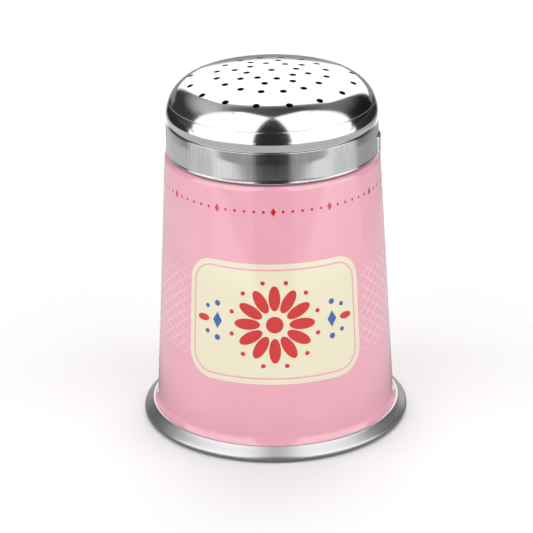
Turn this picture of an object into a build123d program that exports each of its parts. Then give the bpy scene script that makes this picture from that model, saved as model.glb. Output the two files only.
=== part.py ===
from build123d import *
from math import asin, atan2, cos, degrees, hypot, pi, radians, sin, sqrt, tan
import os

# Sugar shaker: a tapered tin with a flared steel foot and a perforated lid that locks by a part turn.
# Millimetres and degrees. Z is the axis, z = 0 is the table and the front of the tin faces -Y.

# Sheet metal and clearances
sheet = 0.4
seam_gap = 0.05
lid_gap = 0.35
overrun = 6.0

# Tin body
foot_diameter = 81.4
body_height = 84.6
neck_diameter = 60.0
flare_corner_height = 3.86
flare_radius = 6.0
flange_angle = 60.5
shoulder_radius = 1.75
shoulder_flat = 0.1
seam_width = 6.0
seam_groove_width = 0.5
seam_groove_depth = 0.15

# Base pan, hemmed round the body's flange
fold_radius = 1.3
lip_height = 4.3
lip_round = 0.12
foot_land = 3.4
panel_lift = 2.4
panel_draft = 0.5
panel_bend = 0.8
bead_radius = 26.0
bead_slope_width = 2.0
bead_rise = 0.7
bead_bend = 1.5

# Neck ring, with two pressed pips
neck_skirt = 6.0
neck_bend = 0.4
rim_width = 1.4
rim_bend = 0.6
pip_radius = 2.0
pip_rise = 1.0
bayonet_angle = -7.0
bayonet_spacing = 172.0

# Lid collar, with two pressed channels that pass the pips
band_height = 9.25
hem_height = 2.4
hem_bend = 0.5
step_rise = 0.3
step_bend = 1.1
step_inner_bend = 0.2
spigot_bend = 0.6
channel_rise = 0.6
channel_height = 5.95
channel_ramp = 1.0
channel_round = 0.25

# Lid seal
seal_width = 1.6
seal_thickness = 1.0

# Lid dome and its shaker holes, in rings from the rim to the middle
ledge_height = 2.5
ledge_tuck = 0.33
flange_lift = 2.05
lip_turn = 6.0
crease_turn = 21.0
dome_lip_radius = 14.0
dome_corner_radius = 10.2
dome_crown_radius = 105.0
dome_edge_round = 0.15
hole_diameter = 2.05
hole_ring_radii = (24.5, 16.5, 11.0, 7.5)
hole_ring_counts = (16, 16, 8, 8)
hole_ring_angles = (11.9, 11.9, 34.4, 11.9)

# Radii and heights worked out from the sizes above
lap = sheet + seam_gap
neck_radius = neck_diameter / 2
foot_radius = foot_diameter / 2
flange_lean = radians(flange_angle)
foot_corner_radius = foot_radius + fold_radius * (tan(pi / 4 + flange_lean / 2) - 1)
hem_radius = neck_radius + lid_gap
band_radius = neck_radius + pip_rise + lid_gap + sheet
collar_bottom = body_height + lid_gap
band_top = collar_bottom + band_height
spigot_radius = hem_radius + sheet
ledge_bottom = (spigot_radius + lap, band_top + step_rise)
dome_lip = (ledge_bottom[0] + ledge_tuck, ledge_bottom[1] + ledge_height)
spigot_top = dome_lip[1] + flange_lift
seal_top = spigot_top - sheet - seam_gap
seal_bottom = seal_top - seal_thickness
seal_inner_radius = neck_radius - seal_width
rim_height = seal_bottom - seam_gap
pip_height = collar_bottom + hem_height + lid_gap + pip_radius


def flange_radius(height):
    """Radius of the outside of the body's flared flange at a height."""
    return foot_corner_radius - height * tan(flange_lean) - lap / cos(flange_lean)


# The body's outside, as straight runs that bends then round off
flange_end_height = fold_radius + (fold_radius - lap) * sin(flange_lean)
flange_end = (flange_radius(flange_end_height), flange_end_height)
flare_corner = (flange_radius(flare_corner_height), flare_corner_height)
mouth_edge = (neck_radius + neck_bend, body_height)
shoulder_corner = (mouth_edge[0] + shoulder_flat + shoulder_radius, body_height)
body_route = [flange_end, flare_corner, shoulder_corner, mouth_edge]
taper = atan2(flare_corner[0] - shoulder_corner[0], body_height - flare_corner_height)
wall_bottom = flare_corner_height + flare_radius
seam_top = body_height - neck_skirt - lid_gap


def wall_radius(height):
    """Radius of the outside of the body's tapered wall at a height."""
    return shoulder_corner[0] + (body_height - height) * tan(taper)


def beside(route, distance):
    """The route moved to its left by a distance, each run staying parallel to itself."""
    normals = []
    for (r0, z0), (r1, z1) in zip(route, route[1:]):
        length = hypot(r1 - r0, z1 - z0)
        normals.append(((z0 - z1) / length, (r1 - r0) / length))
    moved = []
    for index, (r, z) in enumerate(route):
        before = normals[max(index - 1, 0)]
        after = normals[min(index, len(normals) - 1)]
        stretch = distance / (1 + before[0] * after[0] + before[1] * after[1])
        moved.append((r + stretch * (before[0] + after[0]), z + stretch * (before[1] + after[1])))
    return moved


def turns_left(a, b, c):
    """Whether the route a, b, c turns left at b."""
    return (b[0] - a[0]) * (c[1] - b[1]) > (b[1] - a[1]) * (c[0] - b[0])


def bent_sheet(route, bends):
    """Section of a bent sheet: the route is one surface and the sheet lies to its left."""
    corners = zip(route, route[1:], route[2:])
    left_bends = [
        bend - sheet if turns_left(*corner) else bend + sheet for corner, bend in zip(corners, bends)
    ]
    near = FilletPolyline(*route, radius=bends)
    far = FilletPolyline(*beside(route, sheet), radius=left_bends)
    ends = [Line(near @ 0, far @ 0), Line(near @ 1, far @ 1)]
    return make_face(near.edges() + far.edges() + ends)


def turned(section):
    """Solid made by turning a section, drawn as radius and height, about the Z axis."""
    return revolve(Plane.XZ * section, axis=Axis.Z)


def turned_polygon(points):
    """Solid made by turning a polygon of radius and height about the Z axis."""
    return turned(make_face(Polyline(*points, close=True)))


def radial_slab(width, angle):
    """Upright slab from the axis outwards, centred on an angle round the axis."""
    height = body_height + band_height
    slab = Box(foot_radius, width, 2 * height, align=(Align.MIN, Align.CENTER, Align.MIN))
    return Rot(0, 0, angle) * slab


def bayonet_angles():
    """The angles of the pips, and of the channels at rest."""
    return [bayonet_angle, bayonet_angle + bayonet_spacing]


def make_body_shell():
    """Tapered sheet with a flared foot flange, a rolled shoulder and a lock seam up its back."""
    shell = turned(bent_sheet(body_route, [flare_radius, shoulder_radius]))
    fold_depth = 3 * sheet
    fold = turned_polygon([
        (wall_radius(wall_bottom) - sheet / 2, wall_bottom),
        (wall_radius(seam_top) - sheet / 2, seam_top),
        (wall_radius(seam_top) - fold_depth, seam_top),
        (wall_radius(wall_bottom) - fold_depth, wall_bottom),
    ])
    groove_top = body_height - 2 * shoulder_radius
    groove = turned_polygon([
        (wall_radius(wall_bottom) - seam_groove_depth, wall_bottom),
        (wall_radius(wall_bottom) + overrun, wall_bottom),
        (wall_radius(groove_top) + overrun, groove_top),
        (wall_radius(groove_top) - seam_groove_depth, groove_top),
    ])
    back = 90
    shell += fold & radial_slab(seam_width, back)
    return shell - (groove & radial_slab(seam_groove_width, back))


def make_base_pan():
    """Recessed end whose rim folds back over the body's flange and shows as the bare steel foot."""
    fold_centre = foot_radius - fold_radius
    land_inner = fold_centre - foot_land
    leaf = beside([flange_end, flare_corner, (wall_radius(wall_bottom), wall_bottom)], -lap)
    route = [
        (0, panel_lift + bead_rise),
        (bead_radius - bead_slope_width, panel_lift + bead_rise),
        (bead_radius, panel_lift),
        (land_inner - panel_draft, panel_lift),
        (land_inner, 0),
        (foot_corner_radius, 0),
        leaf[1],
        leaf[2],
    ]
    bends = [bead_bend, bead_bend, panel_bend, panel_bend, fold_radius, flare_radius - lap]
    pan = turned(bent_sheet(route, bends))
    above_lip = Cylinder(foot_radius + overrun, wall_bottom, align=(Align.CENTER, Align.CENTER, Align.MIN))
    pan -= Pos(0, 0, lip_height) * above_lip
    lip_edge = pan.edges().group_by(Axis.Z)[-1].sort_by(SortBy.RADIUS)[-1]
    return fillet(lip_edge, lip_round)


def make_neck_ring():
    """Sleeve seamed under the body's shoulder, with a turned-in rim and two pressed pips."""
    inside = beside(body_route, lap)
    skirt_bottom = body_height - neck_skirt
    wall_foot = (wall_radius(skirt_bottom) - lap / cos(taper), skirt_bottom)
    route = [
        wall_foot,
        inside[2],
        (neck_radius, inside[2][1]),
        (neck_radius, rim_height),
        (neck_radius - rim_width, rim_height),
    ]
    ring = turned(bent_sheet(route, [shoulder_radius - lap, neck_bend, rim_bend]))
    ball_radius = (pip_radius**2 + pip_rise**2) / (2 * pip_rise)
    core = Cylinder(neck_radius - sheet, 2 * (body_height + band_height))
    for angle in bayonet_angles():
        place = Rot(0, 0, angle) * Pos(neck_radius + pip_rise - ball_radius, 0, pip_height)
        ring += place * Sphere(ball_radius) - core
        ring -= place * Sphere(ball_radius - sheet)
    return ring


def make_lid_collar():
    """Band with a hemmed lower edge, a stepped-in spigot that holds the dome, and a seal flange."""
    route = [
        (hem_radius, collar_bottom + hem_height),
        (hem_radius, collar_bottom),
        (band_radius, collar_bottom),
        (band_radius, band_top),
        (spigot_radius, band_top + step_rise),
        (spigot_radius, spigot_top),
        (seal_inner_radius, spigot_top),
    ]
    collar = turned(bent_sheet(route, [hem_bend, hem_bend, step_bend, step_inner_bend, spigot_bend]))
    channel_top = collar_bottom + channel_height
    raised_radius = band_radius + channel_rise
    raised = turned_polygon([
        (band_radius - sheet / 2, collar_bottom),
        (raised_radius, collar_bottom),
        (raised_radius, channel_top - channel_ramp),
        (band_radius, channel_top),
        (band_radius - sheet / 2, channel_top),
    ])
    hollow = turned_polygon([
        (neck_radius, collar_bottom - overrun),
        (raised_radius - sheet, collar_bottom - overrun),
        (raised_radius - sheet, channel_top - channel_ramp - sheet),
        (band_radius - sheet, channel_top - sheet),
        (neck_radius, channel_top - sheet),
    ])
    passage = 2 * (pip_radius + lid_gap)
    for angle in bayonet_angles():
        cover = raised & radial_slab(passage + 2 * sheet, angle)
        outward = Axis((0, 0, 0), (cos(radians(angle)), sin(radians(angle)), 0))
        upright = cover.edges().filter_by(Axis.Z).sort_by(outward)[-2:]
        collar += fillet(upright, channel_round)
        collar -= hollow & radial_slab(passage, angle)
    return collar


def make_lid_seal():
    """Flat ring between the neck's rim and the collar's flange."""
    return turned_polygon([
        (seal_inner_radius, seal_bottom),
        (neck_radius, seal_bottom),
        (neck_radius, seal_top),
        (seal_inner_radius, seal_top),
    ])


def along(point, distance, turn):
    """The point moved by a distance in a direction, given as degrees up from straight out."""
    return (point[0] + distance * cos(radians(turn)), point[1] + distance * sin(radians(turn)))


lip_centre = along(dome_lip, -dome_lip_radius, lip_turn)
corner_centre = along(lip_centre, dome_lip_radius - dome_corner_radius, crease_turn)
crown_height = sqrt((dome_crown_radius - dome_corner_radius) ** 2 - corner_centre[0] ** 2)
crown_centre = (0, corner_centre[1] - crown_height)
crown_turn = degrees(atan2(crown_height, corner_centre[0]))
ledge_turn = -degrees(atan2(ledge_tuck, ledge_height))


def dome_surface(depth):
    """The dome's profile at a depth below its outside: its ledge, lip, rounded corner and crown."""
    lip = CenterArc(lip_centre, dome_lip_radius - depth, lip_turn, crease_turn - lip_turn)
    corner = CenterArc(corner_centre, dome_corner_radius - depth, crease_turn, crown_turn - crease_turn)
    crown = CenterArc(crown_centre, dome_crown_radius - depth, crown_turn, 90 - crown_turn)
    ledge = Line(along(ledge_bottom, -depth, ledge_turn), lip @ 0)
    return [ledge, lip, corner, crown]


def hole_punch(radius):
    """Punch square to the dome's outside at a radius, on the +X side."""
    lean = asin(radius / dome_crown_radius)
    height = crown_centre[1] + dome_crown_radius * cos(lean)
    if lean > radians(90 - crown_turn):
        lean = asin((radius - corner_centre[0]) / dome_corner_radius)
        height = corner_centre[1] + dome_corner_radius * cos(lean)
    return Pos(radius, 0, height) * Rot(0, degrees(lean), 0) * Cylinder(hole_diameter / 2, overrun)


def make_lid_dome():
    """Drawn dome with rings of punched holes, its ledge pressed in round the collar's spigot."""
    outside = dome_surface(0)
    inside = dome_surface(sheet)
    ends = [Line(outside[0] @ 0, inside[0] @ 0), Line(outside[-1] @ 1, inside[-1] @ 1)]
    dome = turned(make_face(outside + inside + ends))
    lower_edge = dome.edges().group_by(Axis.Z)[0].sort_by(SortBy.RADIUS)[-1]
    dome = fillet(lower_edge, dome_edge_round)
    punches = [hole_punch(0)]
    for radius, count, first in zip(hole_ring_radii, hole_ring_counts, hole_ring_angles):
        punch = hole_punch(radius)
        punches += [Rot(0, 0, first + index * 360 / count) * punch for index in range(count)]
    return dome - punches


pieces = {
    "body_shell": make_body_shell(),
    "base_pan": make_base_pan(),
    "neck_ring": make_neck_ring(),
    "lid_seal": make_lid_seal(),
    "lid_collar": make_lid_collar(),
    "lid_dome": make_lid_dome(),
}
os.makedirs("parts", exist_ok=True)
for name, piece in pieces.items():
    export_step(piece, f"parts/{name}.step")
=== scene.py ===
from math import asin, atan2, ceil, cos, degrees, hypot, pi, radians, sin, sqrt, tan

import bmesh
import bpy
from mathutils import Matrix, Vector


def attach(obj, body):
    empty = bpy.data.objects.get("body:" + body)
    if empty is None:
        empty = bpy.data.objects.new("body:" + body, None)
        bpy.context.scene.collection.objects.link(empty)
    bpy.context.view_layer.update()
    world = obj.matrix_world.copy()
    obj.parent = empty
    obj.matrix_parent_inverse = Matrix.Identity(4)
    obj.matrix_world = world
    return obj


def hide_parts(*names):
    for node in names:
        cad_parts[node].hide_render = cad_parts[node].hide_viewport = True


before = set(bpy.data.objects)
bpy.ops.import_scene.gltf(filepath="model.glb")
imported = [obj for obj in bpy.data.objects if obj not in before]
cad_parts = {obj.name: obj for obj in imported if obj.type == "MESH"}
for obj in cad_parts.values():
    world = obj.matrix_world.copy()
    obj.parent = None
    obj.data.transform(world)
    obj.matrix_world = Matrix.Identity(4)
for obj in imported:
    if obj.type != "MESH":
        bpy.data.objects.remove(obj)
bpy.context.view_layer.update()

# Sugar shaker: a lacquered tin with a hemmed steel foot and a perforated lid that locks by a part
# turn. Shapes are drawn in millimetres in the frame of the solids, with the tin's front towards -Y.

MM = 0.001
WELD = 0.002

# Sheet metal
sheet = 0.4
lap = 0.45
edge_round = 0.1

# Tin body
foot_radius = 40.7
body_height = 84.6
neck_radius = 30.0
flare_corner_height = 4.8
flare_radius = 5.0
flange_lean = radians(50)
shoulder_radius = 1.75
shoulder_flat = 0.1
seam_angle = radians(90)
seam_half_width = 3.0
seam_edge = 0.3
seam_fold_depth = 0.8
seam_groove_half_width = 0.3
seam_groove_depth = 0.15
seam_run_in = 4.0
groove_run_out = 2.0
fold_run_out = 1.5
fold_gap = 0.5

# Foot
fold_radius = 1.3
lip_height = 4.3
lip_round = 0.16
foot_land = 3.4
panel_lift = 2.4
panel_draft = 0.5
panel_bend = 0.8
bead_radius = 26.0
bead_slope_width = 2.0
bead_rise = 0.7
bead_bend = 1.5

# Neck sleeve and its pips
neck_skirt = 6.0
neck_bend = 0.4
rim_width = 1.4
rim_bend = 0.6
rim_height = 97.55
pip_height = 89.7
pip_reach = 2.2
pip_rise = 1.0
pip_sector = 6
bayonet_angles = (radians(-7), radians(165))

# Lid collar and its channels
hem_radius = 30.35
band_radius = 31.75
collar_bottom = 84.95
hem_height = 2.4
hem_bend = 0.5
hem_flare = 0.14
hem_flare_top = 86.1
waist_bottom = 91.6
waist_bend = 20.0
band_top = (31.56, 94.42)
step_bend = 0.1
step_inner_bend = 0.1
spigot_radius = 30.75
spigot_bottom = 94.46
spigot_top = 99.05
spigot_bend = 0.6
channel_half_width = 2.35
channel_side = 0.7
channel_rise = 0.6
channel_top = 90.9
channel_ramp = 1.0
channel_sector = 7
slot_half_turn = radians(3.6)
slot_radii = (28.0, 31.55)
slot_heights = (83.0, 88.6)

# Seal ring
seal_inner_radius = 28.4
seal_bottom = 97.6
seal_top = 98.6
seal_round = 0.25

# Dome and its holes
ledge_bottom = (31.2, 94.5)
dome_lip = (31.53, 97.0)
lip_turn = radians(6)
crease_turn = radians(21)
dome_lip_radius = 14.0
dome_corner_radius = 10.2
dome_crown_radius = 105.0
dome_edge_round = 0.12
lip_bend = 0.08
crease_depth = 0.055
hole_radius = 1.025
hole_lip = 0.06
# Depth under the dome's outside beyond which faces take the near-black painted shade
painted_shade_depth = 0.07
punch_half_height = 2.0
punch_flare = 0.6
punch_flare_rise = 0.12

# Rings of holes: radius, count and the first hole's angle in degrees
hole_rings = ((24.5, 16, 11.9), (16.5, 16, 11.9), (11.0, 8, 34.4), (7.5, 8, 11.9))

# Fineness of the meshes: longest straight edges, sectors in degrees and steps, and steps in the
# close and the wide sectors of the bayonet pieces
wall_run = 2.4
foot_run = 1.2
fine_run = 0.35
eighth_turn = (45, 32)
punch_sector = (90, 7)
seam_sectors = ((12, 48), (348, 192))
sleeve_steps = (48, 100)
band_steps = (70, 110)

# Radii and heights worked out from the sizes above
foot_corner_radius = foot_radius + fold_radius * (tan(pi / 4 + flange_lean / 2) - 1)


def flange_radius(height):
    """Radius of the outside of the body's flared flange at a height."""
    return foot_corner_radius - height * tan(flange_lean) - lap / cos(flange_lean)


flange_end_height = fold_radius + (fold_radius - lap) * sin(flange_lean)
flange_end = (flange_radius(flange_end_height), flange_end_height)
flare_corner = (flange_radius(flare_corner_height), flare_corner_height)
mouth_edge = (neck_radius + neck_bend, body_height)
shoulder_corner = (mouth_edge[0] + shoulder_flat + shoulder_radius, body_height)
body_route = [flange_end, flare_corner, shoulder_corner, mouth_edge]
taper = atan2(flare_corner[0] - shoulder_corner[0], body_height - flare_corner_height)
wall_bottom = flare_corner_height + flare_radius


def along(point, distance, turn):
    """The point moved by a distance in a direction, given as an angle up from straight out."""
    return (point[0] + distance * cos(turn), point[1] + distance * sin(turn))


lip_centre = along(dome_lip, -dome_lip_radius, lip_turn)
corner_centre = along(lip_centre, dome_lip_radius - dome_corner_radius, crease_turn)
crown_height = sqrt((dome_crown_radius - dome_corner_radius) ** 2 - corner_centre[0] ** 2)
crown_centre = (0, corner_centre[1] - crown_height)
crown_turn = atan2(crown_height, corner_centre[0])
ledge_turn = -atan2(dome_lip[0] - ledge_bottom[0], dome_lip[1] - ledge_bottom[1])


def wall_radius(height):
    """Radius of the outside of the tapered wall at a height."""
    return shoulder_corner[0] + (body_height - height) * tan(taper)


def ease(value, start, end):
    """0 before start, 1 after end and a smooth rise between them."""
    share = min(max((value - start) / (end - start), 0), 1)
    return share * share * (3 - 2 * share)


# Drawing a section and turning it

def beside(route, distance):
    """The route moved to its left by a distance, each run staying parallel to itself."""
    runs = [Vector((b[0] - a[0], b[1] - a[1])).normalized() for a, b in zip(route, route[1:])]
    lefts = [Vector((-run.y, run.x)) for run in runs]
    moved = []
    for index, point in enumerate(route):
        before = lefts[max(index - 1, 0)]
        after = lefts[min(index, len(lefts) - 1)]
        moved.append(tuple(Vector(point) + (before + after) * distance / (1 + before.dot(after))))
    return moved


def turn_at(before, corner, after):
    """Angle that a route turns through at a corner, positive to the left."""
    inward = Vector(corner) - Vector(before)
    outward = Vector(after) - Vector(corner)
    return atan2(inward.x * outward.y - inward.y * outward.x, inward.dot(outward))


def sweep(section, pen, centre, angle, step):
    """Carries the pen along an arc in the XZ plane and returns it at the arc's end."""
    steps = max(3, ceil(abs(angle) / radians(step)))
    middle = (centre[0], 0, centre[1])
    swept = bmesh.ops.spin(
        section, geom=[pen], cent=middle, axis=(0, -1, 0), angle=angle, steps=steps
    )
    return swept["geom_last"][0]


def run_to(section, pen, point):
    """Carries the pen straight to a point in the XZ plane."""
    pen = bmesh.ops.extrude_vert_indiv(section, verts=[pen])["verts"][0]
    pen.co = (point[0], 0, point[1])
    return pen


def draw_section(corners, closed=True, step=7.0):
    """Section in the XZ plane. Each corner is a radius, a height and the radius of its bend."""
    section = bmesh.new()
    points = [corner[:2] for corner in corners]
    pen = first = None
    for index, (*point, bend) in enumerate(corners):
        start = Vector(point)
        if bend:
            before = points[index - 1]
            after = points[(index + 1) % len(points)]
            swing = turn_at(before, point, after)
            heading = (start - Vector(before)).normalized()
            start = start - heading * bend * tan(abs(swing) / 2)
        if pen is None:
            pen = first = section.verts.new((start[0], 0, start[1]))
        else:
            pen = run_to(section, pen, start)
        if bend:
            left = Vector((-heading.y, heading.x)) * (1 if swing > 0 else -1)
            pen = sweep(section, pen, start + left * bend, swing, step)
    if closed:
        section.edges.new((pen, first))
    return section


def sheet_corners(route, bends):
    """Corners of a bent sheet that lies to the left of a route, with its cut edges just broken."""
    turns = [turn_at(*corner) for corner in zip(route, route[1:], route[2:])]
    near_bends = [edge_round, *bends, edge_round]
    left_bends = [bend - sheet if turn > 0 else bend + sheet for bend, turn in zip(bends, turns)]
    far_bends = [edge_round, *left_bends, edge_round]
    near = [(*point, bend) for point, bend in zip(route, near_bends)]
    far = [(*point, bend) for point, bend in zip(beside(route, sheet), far_bends)]
    return near + far[::-1]


def split_runs(section, longest):
    """Divides the straight runs of a section that are longer than a length."""
    for edge in [edge for edge in section.edges if edge.calc_length() > longest]:
        bmesh.ops.subdivide_edges(section, edges=[edge], cuts=int(edge.calc_length() / longest))


def face_outwards(shape):
    """Makes the faces of a closed shape point out of it."""
    bmesh.ops.recalc_face_normals(shape, faces=shape.faces)
    if shape.calc_volume(signed=True) < 0:
        bmesh.ops.reverse_faces(shape, faces=shape.faces)


def turn(section, sectors=((45, 30),)):
    """Turns a section through sectors and repeats them round the axis."""
    shape = section.verts[:] + section.edges[:]
    for angle, steps in sectors:
        swept = bmesh.ops.spin(
            section, geom=shape, cent=(0, 0, 0), axis=(0, 0, 1), angle=radians(angle), steps=steps
        )
        shape = swept["geom_last"]
    swept_angle = sum(angle for angle, steps in sectors)
    first = section.verts[:] + section.edges[:] + section.faces[:]
    for index in range(1, round(360 / swept_angle)):
        copied = bmesh.ops.duplicate(section, geom=first)["geom"]
        verts = [item for item in copied if isinstance(item, bmesh.types.BMVert)]
        spun = Matrix.Rotation(radians(index * swept_angle), 3, "Z")
        bmesh.ops.rotate(section, cent=(0, 0, 0), matrix=spun, verts=verts)
    bmesh.ops.remove_doubles(section, verts=section.verts, dist=WELD)
    face_outwards(section)
    return section


def rotate(shape, angle, axis="Z"):
    """Turns a whole shape about an axis through the origin."""
    spun = Matrix.Rotation(angle, 3, axis)
    bmesh.ops.rotate(shape, cent=(0, 0, 0), matrix=spun, verts=shape.verts)


def fine_sectors(half_width, fine_steps, coarse_steps):
    """Sectors with close steps about each bayonet angle and wider steps between them."""
    spacing = degrees(bayonet_angles[1] - bayonet_angles[0])
    fine = (2 * half_width, fine_steps)
    between = (spacing - 2 * half_width, coarse_steps)
    beyond = (360 - spacing - 2 * half_width, coarse_steps)
    return (fine, between, fine, beyond)


def across_from(vert, angle):
    """Distance round the tin from an angle about the axis to a vertex."""
    away = (atan2(vert.co.y, vert.co.x) - angle + pi) % (2 * pi) - pi
    return abs(away) * hypot(vert.co.x, vert.co.y)


def on_circle(vert, radius, height):
    """Whether a vertex lies on a circle round the axis."""
    return hypot(hypot(*vert.co.xy) - radius, vert.co.z - height) < WELD


def push_out(vert, distance):
    """Moves a vertex straight away from the axis."""
    radius = hypot(vert.co.x, vert.co.y)
    grow = (radius + distance) / radius
    vert.co.x *= grow
    vert.co.y *= grow


def to_object(shape, name):
    """Object at the origin that holds a drawn shape, which is used up."""
    mesh = bpy.data.meshes.new(name)
    shape.to_mesh(mesh)
    shape.free()
    made = bpy.data.objects.new(name, mesh)
    bpy.context.scene.collection.objects.link(made)
    return made


def cut_away(shape, cutter):
    """The shape with the cutter's volume taken out of it."""
    stock = to_object(shape, "stock")
    tool = to_object(cutter, "tool")
    cut = stock.modifiers.new("cut", "BOOLEAN")
    cut.operation = "DIFFERENCE"
    cut.solver = "MANIFOLD"
    cut.object = tool
    depsgraph = bpy.context.evaluated_depsgraph_get()
    mesh = bpy.data.meshes.new_from_object(stock.evaluated_get(depsgraph))
    result = bmesh.new()
    result.from_mesh(mesh)
    for used in (stock, tool):
        bpy.data.meshes.remove(used.data)
    bpy.data.meshes.remove(mesh)
    return result


def shade(shape, crisp):
    """Smooth shading, except over edges sharper than an angle in degrees."""
    for face in shape.faces:
        face.smooth = True
    for edge in shape.edges:
        edge.smooth = edge.calc_face_angle(0) < radians(crisp)


def make_piece(shape, name, body, finishes, node=None, crisp=35.0):
    """Turns a drawn shape into a piece of the object, riding on a body."""
    shade(shape, crisp)
    bmesh.ops.scale(shape, vec=(MM, MM, MM), verts=shape.verts)
    piece = to_object(shape, name)
    for finish in finishes:
        piece.data.materials.append(finish)
    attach(piece, body)
    if node:
        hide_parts(node)
    return piece


# Materials

NOISE_LOW = 0.3
NOISE_HIGH = 0.7


class Finish:
    """A node material that is built up a node at a time."""

    def __init__(self, name):
        self.material = bpy.data.materials.new(name)
        self.material.use_nodes = True
        self.tree = self.material.node_tree
        self.shader = self.tree.nodes["Principled BSDF"]
        self.place = self.node("ShaderNodeTexCoord").outputs["Object"]

    def node(self, kind, inputs=(), **settings):
        """A new node with its inputs and settings."""
        made = self.tree.nodes.new(kind)
        for key, value in settings.items():
            setattr(made, key, value)
        for key, value in dict(inputs).items():
            self.put(made.inputs[key], value)
        return made

    def put(self, socket, value):
        """Links a node's output to a socket, or sets the socket to a constant."""
        if isinstance(value, bpy.types.NodeSocket):
            self.tree.links.new(value, socket)
        else:
            socket.default_value = value

    def set(self, **sockets):
        """Sets sockets of the shader, named with underscores for spaces."""
        for key, value in sockets.items():
            self.put(self.shader.inputs[key.replace("_", " ")], value)

    def math(self, operation, first, second=0.0):
        """The result of a sum on one or two values."""
        return self.node("ShaderNodeMath", {0: first, 1: second}, operation=operation).outputs[0]

    def stretched(self, across, upright):
        """Object coordinates scaled differently across and along the axis."""
        scale = (across, across, upright)
        return self.node("ShaderNodeMapping", {"Vector": self.place, "Scale": scale}).outputs[0]

    def rings(self, fineness, drift):
        """Coordinates that change along the metal's section and hardly change round the axis."""
        flat = self.stretched(1.0, 0.0)
        radius = self.node("ShaderNodeVectorMath", {0: flat}, operation="LENGTH").outputs["Value"]
        parts = self.node("ShaderNodeSeparateXYZ", {0: self.place})
        height = parts.outputs["Z"]
        along_it = self.math("MULTIPLY", self.math("ADD", radius, height), fineness)
        beside_it = self.math("MULTIPLY", self.math("SUBTRACT", radius, height), fineness)
        round_it = self.math("MULTIPLY", parts.outputs["X"], drift)
        inputs = {0: along_it, 1: beside_it, 2: round_it}
        return self.node("ShaderNodeCombineXYZ", inputs).outputs[0]

    def noise(self, vector, scale, detail=2.0):
        """A cloudy value between 0 and 1."""
        inputs = {"Vector": vector, "Scale": scale, "Detail": detail, "Roughness": 0.55}
        return self.node("ShaderNodeTexNoise", inputs).outputs["Fac"]

    def spread(self, value, low, high):
        """A noise value spread over a range."""
        inputs = {"Value": value, "From Min": NOISE_LOW, "From Max": NOISE_HIGH}
        inputs |= {"To Min": low, "To Max": high}
        return self.node("ShaderNodeMapRange", inputs).outputs["Result"]

    def blend(self, share, dark, light):
        """A colour between two, by a noise value."""
        ramp = self.node("ShaderNodeValToRGB", {"Fac": share})
        first, last = ramp.color_ramp.elements
        first.position = NOISE_LOW
        last.position = NOISE_HIGH
        first.color = (*dark, 1.0)
        last.color = (*light, 1.0)
        return ramp.outputs["Color"]

    def bump(self, height, strength, distance):
        """Fine relief that follows a value."""
        inputs = {"Height": height, "Strength": strength, "Distance": distance}
        self.set(Normal=self.node("ShaderNodeBump", inputs).outputs["Normal"])

    def brushed(self, amount):
        """Highlights drawn out square to brush marks that run round the axis."""
        tangent = self.node("ShaderNodeTangent", direction_type="RADIAL", axis="Z")
        self.set(Anisotropic=amount, Anisotropic_Rotation=0.25, Tangent=tangent.outputs["Tangent"])


def lacquer(name, dark, light):
    """Printed and lacquered tinplate: a gloss coat over slightly uneven colour."""
    finish = Finish(name)
    clouds = finish.noise(finish.place, 60.0, 3.0)
    grain = finish.noise(finish.place, 2600.0, 1.0)
    finish.set(Base_Color=finish.blend(clouds, dark, light))
    finish.set(Roughness=finish.spread(grain, 0.40, 0.48))
    finish.set(Coat_Weight=1.0, Coat_Roughness=0.06, Coat_IOR=1.8, Specular_IOR_Level=0.1)
    finish.bump(grain, 0.04, 0.00002)
    return finish.material


def round_brushed(name, dark, light, low, high, amount, fineness=9000.0):
    """Steel with brush marks that run round the axis."""
    finish = Finish(name)
    marks = finish.noise(finish.rings(fineness, 25.0), 1.0, 3.0)
    clouds = finish.noise(finish.place, 90.0, 3.0)
    finish.set(Metallic=1.0)
    finish.set(Base_Color=finish.blend(marks, dark, light))
    smear = finish.math("ADD", finish.spread(marks, low, high), finish.spread(clouds, -0.02, 0.02))
    finish.set(Roughness=smear)
    finish.bump(marks, 0.12, 0.00001)
    finish.brushed(amount)
    return finish.material


def upright_brushed(name, dark, light, low, high, amount):
    """Steel with fine upright brush marks, which draw its reflections out sideways."""
    finish = Finish(name)
    marks = finish.noise(finish.stretched(4200.0, 60.0), 1.0, 2.0)
    smears = finish.noise(finish.stretched(160.0, 90.0), 1.0, 4.0)
    finish.set(Metallic=1.0)
    finish.set(Base_Color=finish.blend(marks, dark, light))
    finish.set(Roughness=finish.spread(smears, low, high))
    finish.bump(marks, 0.05, 0.00001)
    tangent = finish.node("ShaderNodeTangent", direction_type="RADIAL", axis="Z")
    finish.set(Anisotropic=amount, Tangent=tangent.outputs["Tangent"])
    return finish.material


def polished(name, dark, light, low, high, depth):
    """Polished steel with faint smears and fine upright marks left by drawing."""
    finish = Finish(name)
    smears = finish.noise(finish.stretched(90.0, 140.0), 1.0, 4.0)
    marks = finish.noise(finish.stretched(2600.0, 70.0), 1.0, 3.0)
    finish.set(Metallic=1.0)
    finish.set(Base_Color=finish.blend(smears, dark, light))
    finish.set(Roughness=finish.spread(smears, low, high))
    finish.bump(marks, depth, 0.00001)
    return finish.material


def soft_rubber(name, dark, light):
    """Pale soft rubber with a fine matt grain."""
    finish = Finish(name)
    grain = finish.noise(finish.place, 1800.0, 3.0)
    finish.set(Base_Color=finish.blend(finish.noise(finish.place, 120.0), dark, light))
    finish.set(Roughness=finish.spread(grain, 0.42, 0.58))
    finish.bump(grain, 0.15, 0.00003)
    return finish.material


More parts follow.
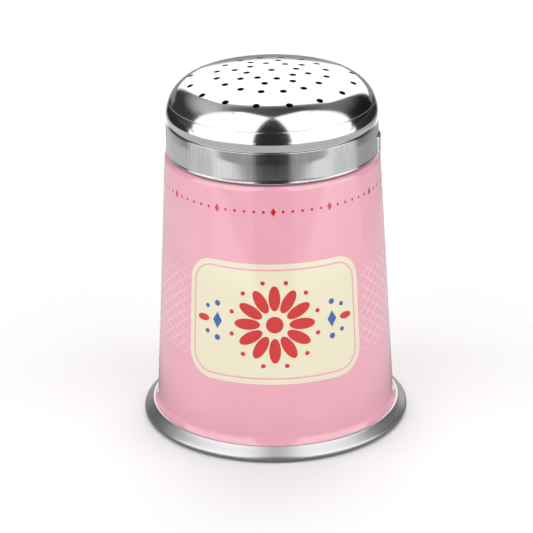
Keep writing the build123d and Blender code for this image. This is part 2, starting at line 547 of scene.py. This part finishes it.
pink_lacquer = lacquer("pink_lacquer", (0.765, 0.356, 0.440), (0.790, 0.379, 0.465))
cream_ink = lacquer("cream_ink", (0.765, 0.708, 0.512), (0.790, 0.733, 0.537))
red_ink = lacquer("red_ink", (0.560, 0.006, 0.004), (0.610, 0.010, 0.007))
blue_ink = lacquer("blue_ink", (0.015, 0.090, 0.340), (0.022, 0.110, 0.385))
pale_ink = lacquer("pale_ink", (0.800, 0.555, 0.600), (0.825, 0.585, 0.630))
bare_tin = round_brushed("bare_tin", (0.52, 0.52, 0.51), (0.62, 0.62, 0.61), 0.30, 0.40, 0.3)
foot_steel = round_brushed("foot_steel", (0.54, 0.54, 0.55), (0.70, 0.70, 0.71), 0.30, 0.42, 0.5)
band_steel = upright_brushed("band_steel", (0.58, 0.58, 0.59), (0.70, 0.70, 0.71), 0.13, 0.18, 0.6)
dome_steel = polished("dome_steel", (0.67, 0.67, 0.68), (0.71, 0.71, 0.72), 0.10, 0.15, 0.07)
# Near-black steel for the dome's inside and the walls of its holes: painted shade, standing in for
# the dark inside of the closed lid
painted_shade_steel = round_brushed("painted_shade_steel", (0.025, 0.025, 0.025), (0.05, 0.05, 0.05), 0.45, 0.60, 0.0)
seal_rubber = soft_rubber("seal_rubber", (0.68, 0.68, 0.65), (0.76, 0.76, 0.73))


# The tin: wall, foot and neck

def make_tin_wall():
    """Tapered wall with a flared bottom edge, a rolled shoulder and a lock seam up the back."""
    section = draw_section(sheet_corners(body_route, [flare_radius, shoulder_radius]))
    split_runs(section, wall_run)
    wall = turn(section, seam_sectors)
    rotate(wall, seam_angle - radians(seam_sectors[0][0] / 2))
    groove_top = body_height - 2 * shoulder_radius
    fold_top = body_height - neck_skirt - fold_gap
    for vert in wall.verts:
        radius = hypot(vert.co.x, vert.co.y)
        height = vert.co.z
        across = across_from(vert, seam_angle)
        above_flare = ease(height, wall_bottom, wall_bottom + seam_run_in)
        if radius > wall_radius(height) - sheet / 2:
            groove = 1 - ease(across, seam_groove_half_width / 2, seam_groove_half_width)
            groove *= 1 - ease(height, groove_top - groove_run_out, groove_top)
            push_out(vert, -seam_groove_depth * groove * above_flare)
        else:
            fold = 1 - ease(across, seam_half_width - seam_edge, seam_half_width)
            fold *= 1 - ease(height, fold_top - fold_run_out, fold_top)
            push_out(vert, -seam_fold_depth * fold * above_flare)
    for face in wall.faces:
        middle = face.calc_center_median()
        inward = face.normal.x * middle.x + face.normal.y * middle.y < 0
        inside = hypot(middle.x, middle.y) < wall_radius(middle.z) - sheet / 2
        face.material_index = 1 if inward and inside else 0
    make_piece(wall, "tin_wall", "tin", [pink_lacquer, bare_tin], "body_shell")


def make_steel_foot():
    """Bottom end whose rim is folded back over the wall's flare."""
    land_inner = foot_radius - fold_radius - foot_land
    leaf = beside([flange_end, flare_corner, (wall_radius(wall_bottom), wall_bottom)], -lap)
    route = [
        (0, panel_lift + bead_rise),
        (bead_radius - bead_slope_width, panel_lift + bead_rise),
        (bead_radius, panel_lift),
        (land_inner - panel_draft, panel_lift),
        (land_inner, 0),
        (foot_corner_radius, 0),
        leaf[1],
        leaf[2],
    ]
    bends = [bead_bend, bead_bend, panel_bend, panel_bend, fold_radius, flare_radius - lap]
    corners = sheet_corners(route, bends)
    corners[0] = (*corners[0][:2], 0)
    corners[-1] = (*corners[-1][:2], 0)
    section = draw_section(corners, closed=False)
    split_runs(section, foot_run)
    foot = turn(section, (eighth_turn,))
    everything = foot.verts[:] + foot.edges[:] + foot.faces[:]
    bmesh.ops.bisect_plane(
        foot, geom=everything, plane_co=(0, 0, lip_height), plane_no=(0, 0, 1), clear_outer=True
    )
    bmesh.ops.bridge_loops(foot, edges=[edge for edge in foot.edges if edge.is_boundary])
    lip = [vert for vert in foot.verts if abs(vert.co.z - lip_height) < WELD]
    outermost = max(hypot(*vert.co.xy) for vert in lip)
    rim_verts = {vert for vert in lip if hypot(*vert.co.xy) > outermost - WELD}
    rim = [edge for edge in foot.edges if rim_verts.issuperset(edge.verts)]
    bmesh.ops.bevel(
        foot, geom=rim, offset=lip_round, segments=3, profile=0.5, affect="EDGES", material=-1
    )
    face_outwards(foot)
    make_piece(foot, "steel_foot", "tin", [foot_steel], "base_pan")


def make_neck_sleeve():
    """Sleeve under the shoulder with a turned-in rim and two pressed pips."""
    inside = beside(body_route, lap)
    skirt_bottom = body_height - neck_skirt
    route = [
        (wall_radius(skirt_bottom) - lap / cos(taper), skirt_bottom),
        inside[2],
        (neck_radius, inside[2][1]),
        (neck_radius, rim_height),
        (neck_radius - rim_width, rim_height),
    ]
    section = draw_section(sheet_corners(route, [shoulder_radius - lap, neck_bend, rim_bend]))
    split_runs(section, fine_run)
    sleeve = turn(section, fine_sectors(pip_sector, *sleeve_steps))
    rotate(sleeve, bayonet_angles[0] - radians(pip_sector))
    for vert in sleeve.verts:
        for angle in bayonet_angles:
            away = hypot(across_from(vert, angle), vert.co.z - pip_height) / pip_reach
            if away < 1:
                push_out(vert, pip_rise * (1 - away**2) ** 1.5)
    make_piece(sleeve, "neck_sleeve", "tin", [bare_tin], "neck_ring")


# The lid: seal, brushed band and polished dome

def make_seal_ring():
    """Soft ring between the neck's rim and the lid."""
    section = draw_section([
        (seal_inner_radius, seal_bottom, seal_round),
        (neck_radius, seal_bottom, seal_round),
        (neck_radius, seal_top, seal_round),
        (seal_inner_radius, seal_top, seal_round),
    ])
    make_piece(turn(section), "seal_ring", "seal", [seal_rubber], "lid_seal")


def make_slot_cutter(angle):
    """Block that opens the hem under a channel, so that a pip can pass."""
    (inner, outer), (bottom, top) = slot_radii, slot_heights
    corners = ((inner, bottom, 0), (outer, bottom, 0), (outer, top, 0), (inner, top, 0))
    section = draw_section(corners)
    bmesh.ops.spin(
        section,
        geom=section.verts[:] + section.edges[:],
        cent=(0, 0, 0),
        axis=(0, 0, 1),
        angle=2 * slot_half_turn,
        steps=12,
    )
    bmesh.ops.holes_fill(section, edges=section.edges, sides=0)
    face_outwards(section)
    rotate(section, angle - slot_half_turn)
    return section


def make_brushed_band():
    """Band with a rolled hem, a stepped-in spigot for the dome and two pressed channels."""
    route = [
        (hem_radius, collar_bottom + hem_height),
        (hem_radius, collar_bottom),
        (band_radius, collar_bottom),
        (band_radius, waist_bottom),
        band_top,
        (spigot_radius, spigot_bottom),
        (spigot_radius, spigot_top),
        (seal_inner_radius, spigot_top),
    ]
    bends = [hem_bend, hem_bend, waist_bend, step_bend, step_inner_bend, spigot_bend]
    section = draw_section(sheet_corners(route, bends), step=8.0)
    split_runs(section, fine_run)
    band = turn(section, fine_sectors(channel_sector, *band_steps))
    rotate(band, bayonet_angles[0] - radians(channel_sector))
    for vert in band.verts:
        radius = hypot(vert.co.x, vert.co.y)
        below_top = 1 - ease(vert.co.z, channel_top - channel_ramp, channel_top)
        outer_leaf = ease(radius, hem_radius + sheet, band_radius - sheet)
        flare = 1 - ease(vert.co.z, collar_bottom, hem_flare_top)
        push_out(vert, hem_flare * flare * outer_leaf)
        for angle in bayonet_angles:
            across = across_from(vert, angle)
            inside_channel = 1 - ease(across, channel_half_width, channel_half_width + channel_side)
            push_out(vert, channel_rise * inside_channel * below_top * outer_leaf)
    for angle in bayonet_angles:
        band = cut_away(band, make_slot_cutter(angle))
    make_piece(band, "brushed_band", "lid", [band_steel], "lid_collar", crisp=40.0)


def make_punch(radius, angle):
    """Punch with a rounded shoulder, square to the dome at a radius and an angle."""
    shoulder = hole_radius + punch_flare
    corners = [
        (0, -punch_half_height, 0),
        (hole_radius, -punch_half_height, 0),
        (hole_radius, 0, hole_lip),
        (shoulder, punch_flare_rise, 0),
        (shoulder, punch_half_height, 0),
        (0, punch_half_height, 0),
    ]
    punch = turn(draw_section(corners, closed=False, step=16.0), (punch_sector,))
    lean = asin(radius / dome_crown_radius)
    height = crown_centre[1] + dome_crown_radius * cos(lean)
    if lean > pi / 2 - crown_turn:
        lean = asin((radius - corner_centre[0]) / dome_corner_radius)
        height = corner_centre[1] + dome_corner_radius * cos(lean)
    rotate(punch, lean, "Y")
    bmesh.ops.translate(punch, vec=(radius, 0, height), verts=punch.verts)
    rotate(punch, angle)
    return punch


def below_dome(point):
    """Depth of a point below the outside of the dome's crown or corner, and 0 lower down."""
    radius = hypot(point.x, point.y)
    if atan2(point.z - crown_centre[1], radius) > crown_turn:
        return dome_crown_radius - hypot(radius, point.z - crown_centre[1])
    away = (radius - corner_centre[0], point.z - corner_centre[1])
    return dome_corner_radius - hypot(*away) if atan2(away[1], away[0]) > crease_turn else 0


def make_polished_dome():
    """Drawn dome with rings of punched holes, a fine crease and a ledge tucked in below its lip."""
    section = bmesh.new()
    ends = []
    for depth, step in ((0, 0.75), (sheet, 2.5)):
        edge = along(ledge_bottom, -depth, ledge_turn)
        pen = section.verts.new((edge[0], 0, edge[1]))
        ends.append(pen)
        pen = run_to(section, pen, along(dome_lip, -depth, lip_turn))
        pen = sweep(section, pen, lip_centre, crease_turn - lip_turn, step)
        pen = sweep(section, pen, corner_centre, crown_turn - crease_turn, step)
        sweep(section, pen, crown_centre, pi / 2 - crown_turn, step / 3)
    section.edges.new(ends)
    dome = turn(section, (eighth_turn,))
    for corner, offset in ((ledge_bottom, dome_edge_round), (dome_lip, lip_bend)):
        ring = [edge for edge in dome.edges if all(on_circle(vert, *corner) for vert in edge.verts)]
        bmesh.ops.bevel(
            dome, geom=ring, offset=offset, segments=3, profile=0.5, affect="EDGES", material=-1
        )
    crease = along(corner_centre, dome_corner_radius, crease_turn)
    for vert in dome.verts:
        if on_circle(vert, *crease):
            push_out(vert, -crease_depth * cos(crease_turn))
            vert.co.z -= crease_depth * sin(crease_turn)
    punches = make_punch(0, 0)
    for radius, count, first in hole_rings:
        for index in range(count):
            punch = make_punch(radius, radians(first + index * 360 / count))
            loose = bpy.data.meshes.new("punch")
            punch.to_mesh(loose)
            punches.from_mesh(loose)
            bpy.data.meshes.remove(loose)
            punch.free()
    dome = cut_away(dome, punches)
    # Faces deeper than a set depth under the outside (hole walls and the inside of crown and
    # corner) get the near-black painted shade
    for face in dome.faces:
        face.material_index = 1 if below_dome(face.calc_center_median()) > painted_shade_depth else 0
    finishes = [dome_steel, painted_shade_steel]
    make_piece(dome, "polished_dome", "lid", finishes, "lid_dome", crisp=22.0)


# The print: a plain flower on a panel, a row of beads and a common trellis round the sides

ink_height = 0.02
ink_layer = 0.015
ink_root = 0.1
panel_height = 42.3
panel_half_width = 27.6
panel_half_height = 18.8
panel_corner = 8.0
panel_line_inset = 1.6
panel_line_width = 0.5

petals = 12
petal_half_size = (3.9, 1.75)
petal_ring = 8.2
eye_radius = 2.6
dot_radius = 0.7
dot_ring = 13.4
berry_half_size = (2.0, 1.1)
berry_across = 22.4
diamond_half_size = (1.5, 2.6)
diamond_across = 17.6
drop_radius = 0.9
drop_rise = 5.4
small_drop_at = (21.0, 4.0)

row_height = 77.0
row_beads = 72
row_group = 6
row_bead_radius = 0.42
row_diamond_half_size = (0.8, 1.3)

trellis_cell = (4.6, 3.4)
trellis_cells = 72
trellis_half_turn = radians(132)
trellis_half_height = 12.5
trellis_half_line = 0.2


def flat_disc(shape, half_width, half_height, at=(0, 0), angle=0.0, segments=32):
    """Adds an oval to a flat print."""
    place = Matrix.Translation((*at, 0)) @ Matrix.Rotation(angle, 4, "Z")
    place = place @ Matrix.Diagonal((half_width, half_height, 1, 1))
    bmesh.ops.create_circle(shape, cap_ends=True, segments=segments, radius=1.0, matrix=place)


def flat_panel():
    """Panel with round corners as a flat print."""
    shape = bmesh.new()
    size = Matrix.Diagonal((panel_half_width, panel_half_height, 1, 1))
    bmesh.ops.create_grid(shape, x_segments=1, y_segments=1, size=1.0, matrix=size)
    bmesh.ops.bevel(
        shape,
        geom=shape.verts[:],
        offset=panel_corner,
        segments=12,
        profile=0.5,
        affect="VERTICES",
        material=-1,
    )
    return shape


def lay_print(shape, name, ink, layer, height):
    """Lays a flat print, drawn with X across and Y up, round the wall in strips of 1 mm."""
    widest = max(abs(vert.co.x) for vert in shape.verts)
    slices = int(widest)
    for index in range(-slices, slices + 1):
        everything = shape.verts[:] + shape.edges[:] + shape.faces[:]
        bmesh.ops.bisect_plane(shape, geom=everything, plane_co=(index, 0, 0), plane_no=(1, 0, 0))
    bmesh.ops.recalc_face_normals(shape, faces=shape.faces)
    for face in shape.faces:
        if face.normal.z < 0:
            face.normal_flip()
    raised = ink_height + layer * ink_layer
    bmesh.ops.translate(shape, vec=(0, 0, -ink_root), verts=shape.verts)
    lifted = bmesh.ops.extrude_face_region(shape, geom=shape.faces[:], use_keep_orig=True)["geom"]
    tops = [item for item in lifted if isinstance(item, bmesh.types.BMVert)]
    bmesh.ops.translate(shape, vec=(0, 0, raised + ink_root), verts=tops)
    face_outwards(shape)
    reference = wall_radius(height)
    for vert in shape.verts:
        across, up, proud = vert.co
        radius = wall_radius(height + up) + proud
        angle = across / reference
        vert.co = (radius * sin(angle), -radius * cos(angle), height + up)
    make_piece(shape, name, "tin", [ink])


def make_print_panel():
    """Cream panel in the middle of the front, with a thin line inside its edge."""
    lay_print(flat_panel(), "print_panel", cream_ink, 0, panel_height)
    line = flat_panel()
    middle = line.faces[:]
    even = {"faces": middle, "use_boundary": True, "use_even_offset": True}
    bmesh.ops.inset_region(line, thickness=panel_line_inset, **even)
    margin = [face for face in line.faces if face not in middle]
    bmesh.ops.inset_region(line, thickness=panel_line_width, **even)
    bmesh.ops.delete(line, geom=margin + middle, context="FACES")
    lay_print(line, "print_panel_line", pink_lacquer, 1, panel_height)


def make_print_flower():
    """Red flower in the middle of the panel, with blue drops beside it."""
    flower = bmesh.new()
    flat_disc(flower, eye_radius, eye_radius)
    for index in range(petals):
        angle = index * 2 * pi / petals
        flat_disc(flower, *petal_half_size, along((0, 0), petal_ring, angle), angle)
        between = angle + pi / petals
        flat_disc(flower, dot_radius, dot_radius, along((0, 0), dot_ring, between), segments=16)
    for side in (-1, 1):
        flat_disc(flower, *berry_half_size, (berry_across * side, 0))
    lay_print(flower, "print_flower", red_ink, 1, panel_height)
    drops = bmesh.new()
    for side in (-1, 1):
        flat_disc(drops, *diamond_half_size, (diamond_across * side, 0), segments=4)
        for up in (-1, 1):
            at = (diamond_across * side, drop_rise * up)
            flat_disc(drops, drop_radius, drop_radius, at, segments=20)
            at = (small_drop_at[0] * side, small_drop_at[1] * up)
            flat_disc(drops, dot_radius, dot_radius, at, segments=20)
    lay_print(drops, "print_drops", blue_ink, 1, panel_height)


def make_print_beads():
    """Row of red beads and diamonds round the tin below its shoulder."""
    beads = bmesh.new()
    pitch = 2 * pi * wall_radius(row_height) / row_beads
    for index in range(-row_beads // 2, row_beads // 2):
        at = (index * pitch, 0)
        if index % row_group:
            flat_disc(beads, row_bead_radius, row_bead_radius, at, segments=16)
        else:
            flat_disc(beads, *row_diamond_half_size, at, segments=4)
    lay_print(beads, "print_beads", red_ink, 0, row_height)


def make_print_trellis():
    """Pale trellis from one side of the panel round the back to the other."""
    trellis = bmesh.new()
    width, height = trellis_cell
    place = Matrix.Diagonal((width / sqrt(2), height / sqrt(2), 1, 1))
    place = place @ Matrix.Rotation(pi / 4, 4, "Z")
    bmesh.ops.create_grid(
        trellis,
        x_segments=trellis_cells,
        y_segments=trellis_cells,
        size=trellis_cells / 2,
        matrix=place,
    )
    half_length = trellis_half_turn * wall_radius(panel_height)
    spare = []
    for face in trellis.faces:
        middle = face.calc_center_median()
        if abs(middle.x) > half_length or abs(middle.y) > trellis_half_height:
            spare.append(face)
    bmesh.ops.delete(trellis, geom=spare, context="FACES")
    inset = bmesh.ops.inset_individual(
        trellis, faces=trellis.faces[:], thickness=trellis_half_line
    )
    lines = set(inset["faces"])
    openings = [face for face in trellis.faces if face not in lines]
    bmesh.ops.delete(trellis, geom=openings, context="FACES")
    lay_print(trellis, "print_trellis", pale_ink, 0, panel_height)
    to_back = Matrix.Rotation(pi, 4, "Z")
    bpy.data.objects["print_trellis"].data.transform(to_back)


make_tin_wall()
make_steel_foot()
make_neck_sleeve()
make_seal_ring()
make_brushed_band()
make_polished_dome()
make_print_panel()
make_print_flower()
make_print_beads()
make_print_trellis()


# Studio: floor, softboxes, dark surround, world and camera, in metres

floor_half_size = 4.0
floor_drop = 0.00005
floor_grey = 0.77
floor_glow = 0.9
floor_glow_reach = (0.32, 0.68)
fill_light = 0.2
mat_lift = 0.0002

# Tent: its radius, and ranges of height or place with the level at each end
tent_radius = 2.5
tent_rise = (0.9, 1.9, 0.03, 0.42)
tent_fall = (2.0, 2.4, 1.0, 0.2)
tent_aside = (-1.8, 1.8, 1.6, 0.45)

camera_place = (0, -0.699888, 0.336591)
camera_pitch = 0.3927736
camera_yaw = -0.00326284
camera_roll = -0.0145791
camera_lens = 167.73
camera_sensor = 36.0

# Cards stand at an azimuth and a distance, with a width, a height, the height of their middle and
# a tilt. Azimuth 0 is the camera's side and 90 is to the right.
# Softboxes: strength, soft shares of the sides, top and bottom, and the card
softboxes = {
    "softbox_left": (1.64, 0.015, 0.25, 0.001, -55.8, 0.515, 0.985, 2.35, 1.145, 8),
    "softbox_right": (1.64, 0.015, 0.25, 0.001, 55.8, 0.515, 0.985, 2.35, 1.145, 8),
    "softbox_far_left": (1.5, 0.1, 0.1, 0.03, -84, 0.68, 0.25, 1.38, 0.69, 10),
    "softbox_far_right": (1.5, 0.1, 0.1, 0.03, 84, 0.68, 0.25, 1.38, 0.69, 10),
    "softbox_back": (1.65, 0.08, 0.08, 0.02, 175, 0.85, 1.2, 1.15, 0.72, 15),
    "softbox_top": (3.9, 0.2, 0.2, 0.2, 180, 0.5, 1.4, 1.4, 1.7, 74),
}
not_reflected = ("softbox_top",)

# Flags: grey and the card
flags = {
    "flag_front": (0.03, 0, 0.95, 0.6, 2.4, 0.9, 0),
    "flag_back": (0.3, 180, 1.3, 2.0, 0.5, 0.0, 0),
    "mat_wide": (0.42, 0, 0.411, 1.0, 0.38, 0.0001, -90),
}

# Mats: first and last azimuth, near and far radius, width of the fade, near and far grey
mats = {
    # The first mat is darkest at the foot: painted shadow, the floor's contact shadow as the metal
    # reflects it
    "painted_shadow_mat": (-180, 180, 0.0395, 0.205, 0.04, 0.2, 0.62),
    "mat_front": (-18.5, 18.5, 0.205, 1.2, 0.08, 0.4, 0.03),
    "mat_side_left": (-155, -97, 0.205, 0.31, 0.1, 0.68, 0.64),
    "mat_side_right": (97, 155, 0.205, 0.31, 0.1, 0.46, 0.44),
    "mat_left": (-155, -97, 0.31, 2.4, 0.11, 0.64, 0.03),
    "mat_right": (97, 155, 0.31, 2.4, 0.11, 0.44, 0.03),
    "mat_mid_left": (-97, -64, 0.205, 0.5, 0.1, 0.76, 0.76),
    "mat_mid_right": (64, 97, 0.205, 0.5, 0.1, 0.82, 0.82),
    "mat_back": (155, 205, 0.205, 2.4, 0.17, 0.6, 0.3),
}


def seen_directly(tree):
    """1 for rays that show the background itself: camera, glossy and transmission rays."""
    path = tree.nodes.new("ShaderNodeLightPath")
    shown = path.outputs["Is Camera Ray"]
    for kind in ("Is Glossy Ray", "Is Transmission Ray"):
        either = tree.nodes.new("ShaderNodeMath")
        either.operation = "MAXIMUM"
        tree.links.new(shown, either.inputs[0])
        tree.links.new(path.outputs[kind], either.inputs[1])
        shown = either.outputs[0]
    return shown


def scaled(tree, value, factor, offset=0.0):
    """A node value times a factor plus an offset."""
    made = tree.nodes.new("ShaderNodeMath")
    made.operation = "MULTIPLY_ADD"
    tree.links.new(value, made.inputs[0])
    made.inputs[1].default_value = factor
    made.inputs[2].default_value = offset
    return made.outputs[0]


def make_floor():
    """Pale floor that keeps the shadow and fades to white far off."""
    shape = bmesh.new()
    bmesh.ops.create_grid(shape, x_segments=1, y_segments=1, size=floor_half_size)
    bmesh.ops.translate(shape, vec=(0, 0, -floor_drop), verts=shape.verts)
    floor = to_object(shape, "floor")
    material = bpy.data.materials.new("floor_white")
    material.use_nodes = True
    tree = material.node_tree
    tree.nodes.clear()
    matt = tree.nodes.new("ShaderNodeBsdfDiffuse")
    matt.inputs["Color"].default_value = (floor_grey, floor_grey, floor_grey, 1.0)
    glow = tree.nodes.new("ShaderNodeEmission")
    far_off = mapped(tree, from_axis(tree), *floor_glow_reach, 0.0, floor_glow)
    tree.links.new(times(tree, far_off, seen_directly(tree)), glow.inputs["Strength"])
    both = tree.nodes.new("ShaderNodeAddShader")
    tree.links.new(matt.outputs[0], both.inputs[0])
    tree.links.new(glow.outputs[0], both.inputs[1])
    output = tree.nodes.new("ShaderNodeOutputMaterial")
    tree.links.new(both.outputs[0], output.inputs["Surface"])
    floor.data.materials.append(material)


def from_axis(tree):
    """Distance of a point on the floor from the tin's axis."""
    reach = tree.nodes.new("ShaderNodeVectorMath")
    reach.operation = "LENGTH"
    tree.links.new(tree.nodes.new("ShaderNodeTexCoord").outputs["Object"], reach.inputs[0])
    return reach.outputs["Value"]


def glowing(name):
    """Material that only gives light, with its node tree and its emission node."""
    material = bpy.data.materials.new(name)
    material.use_nodes = True
    tree = material.node_tree
    tree.nodes.clear()
    glow = tree.nodes.new("ShaderNodeEmission")
    output = tree.nodes.new("ShaderNodeOutputMaterial")
    tree.links.new(glow.outputs[0], output.inputs["Surface"])
    return material, tree, glow


def mapped(tree, value, start, end, low, high, kind="SMOOTHSTEP"):
    """A node value carried from one range to another."""
    made = tree.nodes.new("ShaderNodeMapRange")
    made.interpolation_type = kind
    tree.links.new(value, made.inputs["Value"])
    made.inputs["From Min"].default_value = start
    made.inputs["From Max"].default_value = end
    made.inputs["To Min"].default_value = low
    made.inputs["To Max"].default_value = high
    return made.outputs["Result"]


def times(tree, first, second):
    """The product of two node values."""
    made = tree.nodes.new("ShaderNodeMath")
    made.operation = "MULTIPLY"
    tree.links.new(first, made.inputs[0])
    tree.links.new(second, made.inputs[1])
    return made.outputs[0]


def stage_reflected(item):
    """Hides an object from everything but reflections."""
    item.visible_camera = False
    item.visible_diffuse = False
    item.visible_transmission = False
    item.visible_shadow = False


def make_card(name, azimuth, distance, width, height, middle, tilt):
    """Card that faces the object, leaning by a tilt."""
    shape = bmesh.new()
    shape.loops.layers.uv.new()
    bmesh.ops.create_grid(shape, x_segments=1, y_segments=1, size=0.5, calc_uvs=True)
    place = Matrix.Rotation(radians(azimuth), 4, "Z") @ Matrix.Translation((0, -distance, middle))
    place = place @ Matrix.Rotation(radians(-90 - tilt), 4, "X")
    place = place @ Matrix.Diagonal((width, height, 1, 1))
    bmesh.ops.transform(shape, matrix=place, verts=shape.verts)
    return to_object(shape, name)


def make_softbox(name, strength, soft_sides, soft_top, soft_bottom, *place):
    """Card that gives light from one side and fades towards its edges."""
    card = make_card(name, *place)
    material, tree, glow = glowing(name)
    parts = tree.nodes.new("ShaderNodeSeparateXYZ")
    tree.links.new(tree.nodes.new("ShaderNodeUVMap").outputs["UV"], parts.inputs[0])
    behind = tree.nodes.new("ShaderNodeNewGeometry").outputs["Backfacing"]
    level = scaled(tree, behind, -strength, strength)
    fades = (
        ("X", 0, soft_sides),
        ("X", 1, 1 - soft_sides),
        ("Y", 0, soft_top),
        ("Y", 1, 1 - soft_bottom),
    )
    for axis, edge, full in fades:
        level = times(tree, level, mapped(tree, parts.outputs[axis], edge, full, 0.0, 1.0))
    tree.links.new(level, glow.inputs["Strength"])
    card.data.materials.append(material)
    card.visible_camera = False
    card.visible_shadow = False
    card.visible_glossy = name not in not_reflected


def make_flag(name, grey, *place):
    """Dark card in the metal's reflections."""
    card = make_card(name, *place)
    material, tree, glow = glowing(name)
    glow.inputs["Color"].default_value = (grey, grey, grey, 1.0)
    card.data.materials.append(material)
    stage_reflected(card)


def make_mat(name, first, last, near, far, fade, near_grey, far_grey):
    """Sector of the floor that the metal's reflections show in greys."""
    shape = bmesh.new()
    line = [shape.verts.new((0, -radius, mat_lift)) for radius in (near, far)]
    line.append(shape.edges.new(line))
    rotate(shape, radians(first))
    span = radians(last - first)
    bmesh.ops.spin(shape, geom=line, cent=(0, 0, 0), axis=(0, 0, 1), angle=span, steps=24)
    mat = to_object(shape, name)
    material, tree, glow = glowing(name)
    level = mapped(tree, from_axis(tree), near, near + fade, near_grey, far_grey)
    tree.links.new(level, glow.inputs["Strength"])
    mat.data.materials.append(material)
    stage_reflected(mat)


def make_tent():
    """Dark surround in the metal's reflections: nearly black by the floor and grey higher up."""
    shape = bmesh.new()
    bmesh.ops.create_uvsphere(shape, u_segments=48, v_segments=24, radius=tent_radius)
    tent = to_object(shape, "tent")
    material, tree, glow = glowing("tent")
    parts = tree.nodes.new("ShaderNodeSeparateXYZ")
    tree.links.new(tree.nodes.new("ShaderNodeTexCoord").outputs["Object"], parts.inputs[0])
    rise = mapped(tree, parts.outputs["Z"], *tent_rise)
    fall = mapped(tree, parts.outputs["Z"], *tent_fall)
    aside = mapped(tree, parts.outputs["X"], *tent_aside)
    level = times(tree, times(tree, rise, fall), aside)
    tree.links.new(level, glow.inputs["Strength"])
    tent.data.materials.append(material)
    stage_reflected(tent)


def make_world():
    """White where it is seen, and a low even fill for the rest."""
    world = bpy.data.worlds.new("studio")
    bpy.context.scene.world = world
    world.use_nodes = True
    tree = world.node_tree
    background = tree.nodes["Background"]
    background.inputs["Color"].default_value = (1.0, 1.0, 1.0, 1.0)
    level = scaled(tree, seen_directly(tree), 1 - fill_light, fill_light)
    tree.links.new(level, background.inputs["Strength"])


def make_camera():
    """Camera at the photograph's place, fitted to the tin's own circles."""
    ahead = Vector((sin(camera_yaw), cos(camera_yaw), 0))
    level = Vector((cos(camera_yaw), -sin(camera_yaw), 0))
    forward = cos(camera_pitch) * ahead - sin(camera_pitch) * Vector((0, 0, 1))
    upright = level.cross(forward)
    right = cos(camera_roll) * level + sin(camera_roll) * upright
    up = -sin(camera_roll) * level + cos(camera_roll) * upright
    facing = Matrix((right, up, -forward)).transposed().to_4x4()
    lens = bpy.data.cameras.new("camera")
    lens.sensor_width = camera_sensor
    lens.lens = camera_lens
    camera = bpy.data.objects.new("camera", lens)
    camera.matrix_world = Matrix.Translation(camera_place) @ facing
    bpy.context.scene.collection.objects.link(camera)
    bpy.context.scene.camera = camera


make_floor()
for name, setting in softboxes.items():
    make_softbox(name, *setting)
make_tent()
for name, setting in flags.items():
    make_flag(name, *setting)
for name, setting in mats.items():
    make_mat(name, *setting)
make_world()
make_camera()
bpy.context.scene.view_settings.view_transform = "Standard"
